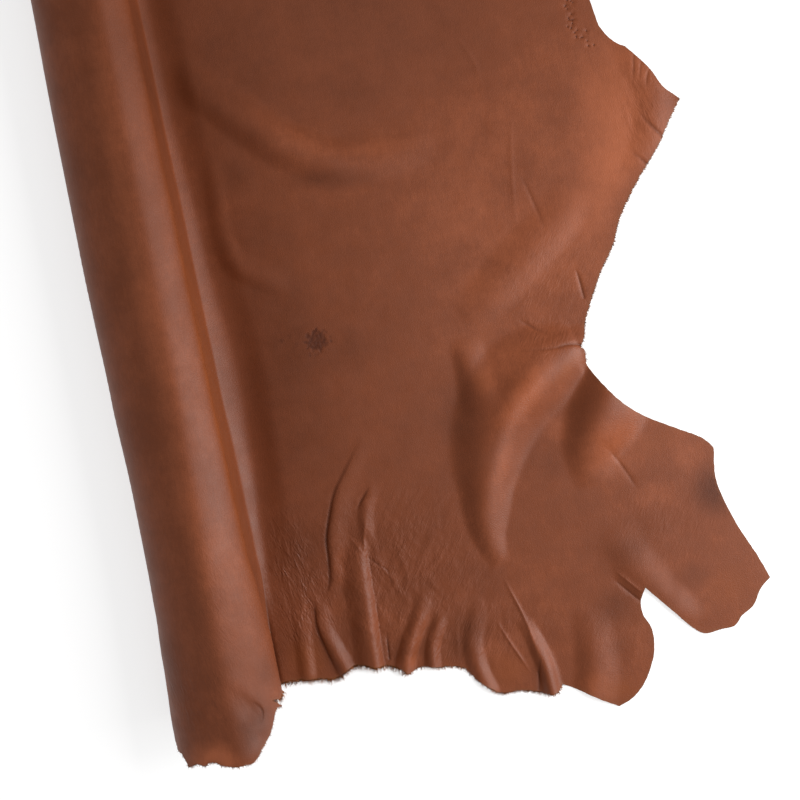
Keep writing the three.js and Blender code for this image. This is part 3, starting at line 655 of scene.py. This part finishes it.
def is_inside(points, edge):
    inside = np.zeros(len(points), bool)
    x, y = points.T
    for a, b in zip(edge, np.roll(edge, 1, axis=0)):
        if a[1] != b[1]:
            crosses = (a[1] > y) != (b[1] > y)
            inside ^= crosses & (x < a[0] + (b[0] - a[0]) * (y - a[1]) / (b[1] - a[1]))
    return inside


def tree_of(points):
    tree = kdtree.KDTree(len(points))
    for i, point in enumerate(points):
        tree.insert((point[0], point[1], 0), i)
    tree.balance()
    return tree


def crease_points(edge):
    """Rows of points along the fine creases and round the pits, so that the sheet follows them."""
    rows = []
    for line, (_, reach, _) in zip(CREASE_LINES, CREASES):
        steps = np.linalg.norm(np.diff(line[:, :2], axis=0), axis=1)
        lengths = np.concatenate([[0], np.cumsum(steps)])
        at = np.arange(0, lengths[-1], CREASE_STEP)
        middle = np.stack([np.interp(at, lengths, line[:, c]) for c in (0, 1)], axis=1)
        ahead = unit(np.gradient(middle, axis=0))
        aside = np.stack([-ahead[:, 1], ahead[:, 0]], axis=1)
        rows += [middle + share * reach * aside for share in CREASE_ROWS]
    for share, count in PITS["rings"]:
        turn = np.arange(count) * 2 * math.pi / count
        ring = np.stack([np.cos(turn), np.sin(turn)], axis=1) * share * PITS["reach"]
        rows += [PIT_CENTRES + corner for corner in ring]
    points = np.vstack(rows)
    cells = np.round(points / CREASE_CELL).astype(int)
    points = points[np.sort(np.unique(cells, axis=0, return_index=True)[1])]
    points = points[is_inside(points, edge)]
    edge_tree = tree_of(edge)
    clear = [edge_tree.find((p[0], p[1], 0))[2] > EDGE_CLEAR for p in points]
    return points[clear]


def inner_points(edge, taken, share):
    """Staggered rows of points inside the edge and clear of points already taken."""
    rng = np.random.default_rng(STRAY_SEED)
    taken_tree = tree_of(np.vstack([edge, taken]))
    found = []
    for number, (_, (low, high), (near, far), step) in enumerate(ZONES):
        step = min(step * share, LARGEST_STEP)
        rows = np.arange(near, far, step * math.sqrt(0.75))
        x, y = np.meshgrid(np.arange(low, high, step), rows)
        x = x + (np.arange(len(rows)) % 2)[:, None] * step * 0.5
        points = np.stack([x.ravel(), y.ravel()], axis=1)
        points += rng.uniform(-STRAY_SHARE, STRAY_SHARE, points.shape) * step
        points = points[(zone_of(*points.T) == number) & is_inside(points, edge)]
        clear = [taken_tree.find((p[0], p[1], 0))[2] > CLEAR_SHARE * step for p in points]
        found.append(points[clear])
    return np.vstack(found)


def triangulate(flat, edge):
    rim = [(i, (i + 1) % len(edge)) for i in range(len(edge))]
    made = delaunay_2d_cdt([Vector(p) for p in flat], rim, [], 0, 1e-6, True)
    triangles = np.array(made[2])
    return triangles[is_inside(flat[triangles].mean(axis=1), edge)]


def patches(rows, x, y):
    """Sum of soft oval patches at places seen from above."""
    total = np.zeros(len(x))
    for _, middle_x, middle_y, half_x, half_y, turn, amount in rows:
        cos, sin = math.cos(math.radians(turn)), math.sin(math.radians(turn))
        u = ((x - middle_x) * cos + (y - middle_y) * sin) / half_x
        v = ((y - middle_y) * cos - (x - middle_x) * sin) / half_y
        total += amount * np.maximum(0, 1 - u * u - v * v) ** 2
    return total


def pit_share(across, along):
    """1 at the middle of a pit, 0 outside it."""
    tree = tree_of(PIT_CENTRES)
    gap = np.array([tree.find((x, y, 0))[2] for x, y in zip(across, along)])
    return np.maximum(0, 1 - (gap / PITS["reach"]) ** 2)


def scar_share(across, along):
    """1 inside the scar, 0 outside it, with a ragged border."""
    (middle_x, middle_y), (half_x, half_y) = SCAR["middle"], SCAR["half"]
    gap = np.hypot((across - middle_x) / half_x, (along - middle_y) / half_y)
    ragged = 1 + uneven("scar border", across, along) + uneven("scar border, fine", across, along)
    return smooth(*SCAR["border"], gap * ragged)


def grain_relief(across, along, x, y):
    """Height of the grain side over an even thickness: creases, pits, wrinkles and a soft unevenness."""
    height = raised(CREASE_LINES, across, along)
    height -= PITS["depth"] * pit_share(across, along)
    height += uneven("grain", across, along) + uneven("grain, fine", across, along)
    cracks = (1 - np.abs(uneven("scar", across, along))) ** 2
    height -= SCAR["depth"] * scar_share(across, along) * cracks
    bent = across + uneven("wrinkles", across, along)
    for layer, (*patch, spacing, length, lean) in enumerate(LOOSE, WRINKLE_LAYER):
        amount = patches([patch], x, y)
        near = amount > LEAST_WRINKLE
        ridge = 1 - np.abs(wave(bent[near], along[near], spacing, length, lean, layer))
        height[near] += amount[near] * ridge ** WRINKLE_POWER
    return height


def new_mesh(name, points, faces):
    """A mesh from points in millimetres of the cut."""
    mesh = bpy.data.meshes.new(name)
    mesh.from_pydata(((points - (*ORIGIN, 0)) * MM).tolist(), [], faces.tolist())
    return mesh


def add_object(name, data):
    made = bpy.data.objects.new(name, data)
    bpy.context.collection.objects.link(made)
    return made


def paint(mesh, flat, points, at_rim):
    """Writes at each point what the materials read there; flat holds the points' places in the cut."""
    x, y = points[:, 0], points[:, 1]
    outer = np.where(flat[:, 0] > LAST_PAINTED, 1.0, 0.0)
    rim = np.zeros(len(points))
    rim[at_rim] = 1
    scar = scar_share(*flat.T) * (SCAR["tone"] + uneven("scar tone", *flat.T))
    # Painted shade in the grooves of the creases, darker with their depth; it joins the specks, scar and
    # pits.
    creases = np.clip(-CREASE_SHADE * raised(CREASE_LINES, *flat.T), 0, CREASE_DARKEST)
    marks_and_crease_shade = np.maximum.reduce([patches(MARKS, x, y), scar, creases, pit_share(*flat.T)])
    fine = [(patch, lean) for *patch, spacing, _, lean in LOOSE if spacing < FINE_SPACING]
    leaning_left = [patch for patch, lean in fine if lean > 0]
    leaning_right = [patch for patch, lean in fine if lean < 0]
    values = {
        # tone: painted light and shade, along with the leather's own uneven tone
        "tone": outer * patches(PAINTED_LIGHT_AND_TONES, x, y),
        "dull": patches(DULL, x, y),
        # pull_up_and_wall_light: pull-up, and painted light on the roll's right wall
        "pull_up_and_wall_light": outer * np.clip(patches(PULL_UP_AND_WALL_LIGHT, x, y), 0, 1),
        "loose_left": outer * np.clip(patches(leaning_left, x, y), 0, 1),
        "loose_right": outer * np.clip(patches(leaning_right, x, y), 0, 1),
        # mark: specks, the scar and the pits, and painted shade in the creases
        "mark": outer * np.clip(marks_and_crease_shade, 0, 1),
        "rim": rim,
    }
    for name, value in values.items():
        mesh.attributes.new(name, "FLOAT", "POINT").data.foreach_set("value", value)
    pattern = np.column_stack([flat, np.zeros(len(flat))]) * MM
    mesh.attributes.new("pattern", "FLOAT_VECTOR", "POINT").data.foreach_set("vector", pattern.ravel())


def make_sheet():
    """The sheet of leather, its edge points and the stretch that each of them is on."""
    edge, stretch_of = edge_points()
    creased = crease_points(edge)
    grain_flat = np.vstack([edge, creased, inner_points(edge, creased, 1.0)])
    flesh_flat = np.vstack([edge, inner_points(edge, edge[:1], FLESH_SHARE)])
    grain_triangles = triangulate(grain_flat, edge)
    flesh_triangles = triangulate(flesh_flat, edge)

    flesh, _ = place(*flesh_flat.T)
    inner, out = place(*grain_flat.T)
    relief = grain_relief(*grain_flat.T, inner[:, 0], inner[:, 1])
    grain = inner + (THICKNESS + relief)[:, None] * out
    first = len(flesh)
    a = np.arange(len(edge))
    b = np.roll(a, -1)
    pairs = ((b, b + first), (b + first, a + first))
    rim_faces = np.vstack([np.stack([a, second, third], axis=1) for second, third in pairs])
    faces = np.vstack([grain_triangles + first, flesh_triangles[:, ::-1], rim_faces])
    points = np.vstack([flesh, grain])

    mesh = new_mesh("leather_side_sheet", points, faces)
    mesh.polygons.foreach_set("use_smooth", [True] * len(faces))
    mesh.set_sharp_from_angle(angle=math.radians(SHARP_ANGLE))
    kinds = [0] * len(grain_triangles) + [1] * len(flesh_triangles) + [2] * len(rim_faces)
    for material in (grain_material(), flesh_material(), fibre_material("leather_edge")):
        mesh.materials.append(material)
    mesh.polygons.foreach_set("material_index", kinds)

    paint(mesh, np.vstack([flesh_flat, grain_flat]), points, np.concatenate([a, a + first]))
    return add_object("leather_side_sheet", mesh), edge, stretch_of


def make_fibres(edge, stretch_of):
    """Loose fibres that stand out of the cut edge, each a bent three-sided spike."""
    rng = np.random.default_rng(FIBRE_SEED)
    ahead = np.roll(edge, -1, axis=0) - edge
    fuzz, reach = np.array([row[1:3] for row in OUTLINE])[stretch_of].T
    number = np.repeat(np.arange(len(edge)), rng.poisson(np.linalg.norm(ahead, axis=1) * fuzz))
    count = len(number)
    step = unit(ahead[number])
    spot = edge[number] + ahead[number] * rng.uniform(0, 1, (count, 1))
    away = np.stack([step[:, 1], -step[:, 0]], axis=1)
    inner, out = place(*spot.T)
    behind, _ = place(*(spot - away).T)
    beside, _ = place(*(spot + step).T)
    way = unit(inner - behind) + unit(beside - inner) * rng.normal(0, FIBRE_TURN[0], (count, 1))
    way = unit(way + out * rng.normal(0, FIBRE_TURN[1], (count, 1)))
    share = np.clip(rng.lognormal(*FIBRE_SPREAD, count), *FIBRE_LENGTHS)
    length = (reach[number] * share)[:, None]
    root = inner + out * THICKNESS * rng.uniform(*FIBRE_DEPTHS, (count, 1)) - way * FIBRE_ROOT
    bent = unit(way + rng.normal(0, FIBRE_BEND, (count, 3)) - (0, 0, FIBRE_SAG))
    middle = root + way * length * 0.5
    tip = middle + bent * length * 0.5
    for points in (root, middle, tip):
        points[:, 2] = np.maximum(points[:, 2], FIBRE_CLEAR)

    radius = rng.uniform(*FIBRE_RADII, (count, 1))
    level = unit(np.cross(way, np.tile((0.0, 0.0, 1.0), (count, 1))) + (1e-6, 0, 0))
    upward = np.cross(level, way)
    turns = [math.radians(d) for d in (90, 210, 330)]
    rings = [
        centre + radius * size * (math.cos(t) * level + math.sin(t) * upward)
        for centre, size in ((root, 1.0), (middle, FIBRE_TAPER)) for t in turns
    ]
    points = np.stack([*rings, tip], axis=1).reshape(-1, 3)
    spike = np.array([(0, 2, 1), (0, 1, 4), (0, 4, 3), (1, 2, 5), (1, 5, 4), (2, 0, 3), (2, 3, 5),
                      (3, 4, 6), (4, 5, 6), (5, 3, 6)])
    first = (len(rings) + 1) * np.arange(count)
    faces = (spike[None] + first[:, None, None]).reshape(-1, 3)
    mesh = new_mesh("edge_fibres", points, faces)
    mesh.materials.append(fibre_material("leather_fibre"))
    return add_object("edge_fibres", mesh)


def set_inputs(node, values):
    for name, value in values.items():
        node.inputs[name].default_value = value


def new_material(name, roughness, specular):
    material = bpy.data.materials.new(name)
    material.use_nodes = True
    shader = material.node_tree.nodes["Principled BSDF"]
    set_inputs(shader, {"Roughness": roughness, "Specular IOR Level": specular})
    return material, material.node_tree, shader


def add_node(tree, kind, inputs, **settings):
    """A new node with its settings; inputs holds a value or another node's output for each socket."""
    made = tree.nodes.new("ShaderNode" + kind)
    for name, value in settings.items():
        setattr(made, name, value)
    for key, value in inputs.items():
        if isinstance(value, bpy.types.NodeSocket):
            tree.links.new(value, made.inputs[key])
        else:
            made.inputs[key].default_value = value
    return made


def attribute(tree, name, output="Fac"):
    return add_node(tree, "Attribute", {}, attribute_name=name).outputs[output]


def calc(tree, operation, *values, kind="Math"):
    return add_node(tree, kind, dict(enumerate(values)), operation=operation).outputs[0]


def vector_calc(tree, operation, *values):
    return calc(tree, operation, *values, kind="VectorMath")


def noise_of(tree, vector, scale, detail=2.0, rough=0.5, output="Fac"):
    inputs = {"Vector": vector, "Scale": scale, "Detail": detail, "Roughness": rough}
    return add_node(tree, "TexNoise", inputs, noise_dimensions="2D").outputs[output]


def add_bump(tree, shader, height, strength, distance):
    inputs = {"Height": height, "Strength": strength, "Distance": distance}
    bump = add_node(tree, "Bump", inputs)
    tree.links.new(bump.outputs["Normal"], shader.inputs["Normal"])


def wrinkle_cells(tree, vector, lean, spacing, length):
    """Heights of long, uneven cells of loose grain; spacing and length are in metres."""
    inputs = {"Vector": vector, "Angle": -math.radians(lean)}
    turned = add_node(tree, "VectorRotate", inputs, rotation_type="Z_AXIS").outputs[0]
    drawn = vector_calc(tree, "MULTIPLY", turned, (1 / spacing, 1 / length, 1))
    bend = noise_of(tree, drawn, 0.4, 1.0, output="Color")
    bent = vector_calc(tree, "MULTIPLY_ADD", bend, (2.6, 2.0, 0), drawn)
    return add_node(tree, "TexVoronoi", {"Vector": bent, "Scale": 1.0, "Smoothness": 0.4},
                    feature="SMOOTH_F1", voronoi_dimensions="2D").outputs["Distance"]


def swing(tree, value, amount):
    """A noise value from 0 to 1 turned into one from -amount to amount."""
    return calc(tree, "MULTIPLY", calc(tree, "SUBTRACT", value, 0.5), 2 * amount)


def mixed(tree, share, first, second):
    return add_node(tree, "Mix", {0: share, 6: first, 7: second}, data_type="RGBA").outputs[2]


def ramp(tree, value, stops):
    made = add_node(tree, "ValToRGB", {"Fac": value})
    elements = made.color_ramp.elements
    while len(elements) < len(stops):
        elements.new(0.5)
    for element, (position, colour) in zip(elements, stops):
        element.position = position
        element.color = (*colour, 1)
    return made.outputs["Color"]


def grain_material():
    material, tree, shader = new_material("leather_grain", 0.5, 0.29)
    pattern = attribute(tree, "pattern", "Vector")
    broad = noise_of(tree, pattern, 10, 5, 0.78)
    patchy = noise_of(tree, pattern, 45, 4)
    fine = noise_of(tree, pattern, 520, 3)
    streaks = noise_of(tree, vector_calc(tree, "MULTIPLY", pattern, (330, 60, 1)), 1)
    # The tone attribute brings painted light and shade as well as the leather's own uneven tone.
    tone = attribute(tree, "tone")
    for value, amount in ((broad, 0.46), (fine, 0.11), (streaks, 0.10)):
        tone = calc(tree, "ADD", tone, swing(tree, value, amount))
    colour = ramp(tree, calc(tree, "MULTIPLY_ADD", tone, 0.5, 0.5), GRAIN_TONES)
    strength = calc(tree, "MULTIPLY_ADD", patchy, 1.2, 0.3)
    # pull_up_and_wall_light brings pull-up, and painted light on the roll's right wall.
    pulled = calc(tree, "MULTIPLY", attribute(tree, "pull_up_and_wall_light"), strength)
    colour = mixed(tree, pulled, colour, PULLED)
    # mark brings specks, the scar and the pits, and painted shade in the creases.
    for name, share, shade in (("mark", 0.75, MARK_AND_CREASE_SHADE), ("rim", 0.5, RIM)):
        colour = mixed(tree, calc(tree, "MULTIPLY", attribute(tree, name), share), colour, shade)
    tree.links.new(colour, shader.inputs["Base Color"])
    inputs = {"Vector": pattern, "Scale": 720.0}
    pores = add_node(tree, "TexVoronoi", inputs, voronoi_dimensions="2D").outputs["Distance"]
    height = calc(tree, "MULTIPLY_ADD", fine, 0.4, calc(tree, "MULTIPLY", pores, 0.25))
    for name, lean, spacing, length in FINE_WRINKLES:
        cells = wrinkle_cells(tree, pattern, lean, spacing, length)
        strength = calc(tree, "MULTIPLY_ADD", patchy, 5.0, -1.0)
        amount = calc(tree, "MULTIPLY", attribute(tree, name), strength)
        height = calc(tree, "MULTIPLY_ADD", cells, amount, height)
    add_bump(tree, shader, height, 1.0, 0.0004)
    gloss = calc(tree, "ADD", calc(tree, "MULTIPLY_ADD", patchy, 0.16, 0.40), attribute(tree, "dull"))
    tree.links.new(gloss, shader.inputs["Roughness"])
    return material


def flesh_material():
    material, tree, shader = new_material("leather_flesh", 0.95, 0.1)
    pattern = attribute(tree, "pattern", "Vector")
    colour = ramp(tree, noise_of(tree, pattern, 60, 5), FLESH_TONES)
    tree.links.new(colour, shader.inputs["Base Color"])
    add_bump(tree, shader, noise_of(tree, pattern, 900, 3), 0.6, 0.0006)
    set_inputs(shader, {"Sheen Weight": 0.15})
    return material


def fibre_material(name):
    material, tree, shader = new_material(name, 0.9, 0.1)
    where = add_node(tree, "NewGeometry", {}).outputs["Position"]
    colour = ramp(tree, noise_of(tree, where, 260, 3), FIBRE_TONES)
    tree.links.new(colour, shader.inputs["Base Color"])
    return material


def to_frame(across, along, height=0.0):
    return Vector((across - ORIGIN[0], along - ORIGIN[1], height)) * MM


def add_camera():
    data = bpy.data.cameras.new("photo_view")
    data.sensor_width = 36.0
    data.lens = data.sensor_width / 2 / (PHOTO_SPAN / 2 / CAMERA_HEIGHT)
    data.clip_end = 50
    camera = add_object("photo_view", data)
    camera.location = to_frame(*PHOTO_CENTRE, CAMERA_HEIGHT)
    camera.rotation_euler = (0, 0, math.radians(-PHOTO_TURN))
    bpy.context.scene.camera = camera


def add_light(name, azimuth, elevation, distance, size, power):
    """A soft rectangular light that looks at the photograph's centre; azimuth is turned from +X."""
    data = bpy.data.lights.new(name, "AREA")
    data.shape = "RECTANGLE"
    data.size, data.size_y = size
    data.energy = power
    lamp = add_object(name, data)
    a, e = math.radians(azimuth), math.radians(elevation)
    away = Vector((math.cos(a) * math.cos(e), math.sin(a) * math.cos(e), math.sin(e)))
    lamp.location = to_frame(*PHOTO_CENTRE) + away * distance
    lamp.rotation_euler = away.to_track_quat("Z", "Y").to_euler()


def add_stage():
    mesh = bpy.data.meshes.new("floor")
    square = [(x * FLOOR_HALF, y * FLOOR_HALF, 0) for x, y in ((-1, -1), (1, -1), (1, 1), (-1, 1))]
    mesh.from_pydata(square, [], [(0, 1, 2, 3)])
    floor = add_object("floor", mesh)
    floor.location.z = -FLOOR_DROP
    paper, _, shader = new_material("floor_paper", 0.9, 0.25)
    set_inputs(shader, {"Base Color": PAPER, "Emission Color": WHITE, "Emission Strength": FLOOR_GLOW})
    mesh.materials.append(paper)
    world = bpy.data.worlds.new("studio")
    bpy.context.scene.world = world
    world.cycles_visibility.glossy = False
    world.use_nodes = True
    set_inputs(world.node_tree.nodes["Background"], {"Color": WHITE, "Strength": SKY_STRENGTH})
    bpy.context.scene.view_settings.view_transform = "Standard"
    add_light("key", azimuth=-4, elevation=33, distance=1.7, size=(1.1, 1.6), power=42)


side, cut_edge, cut_stretch = make_sheet()
fibres = make_fibres(cut_edge, cut_stretch)
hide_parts(NODE)
for piece in (side, fibres):
    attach(piece, "root")
add_camera()
add_stage()
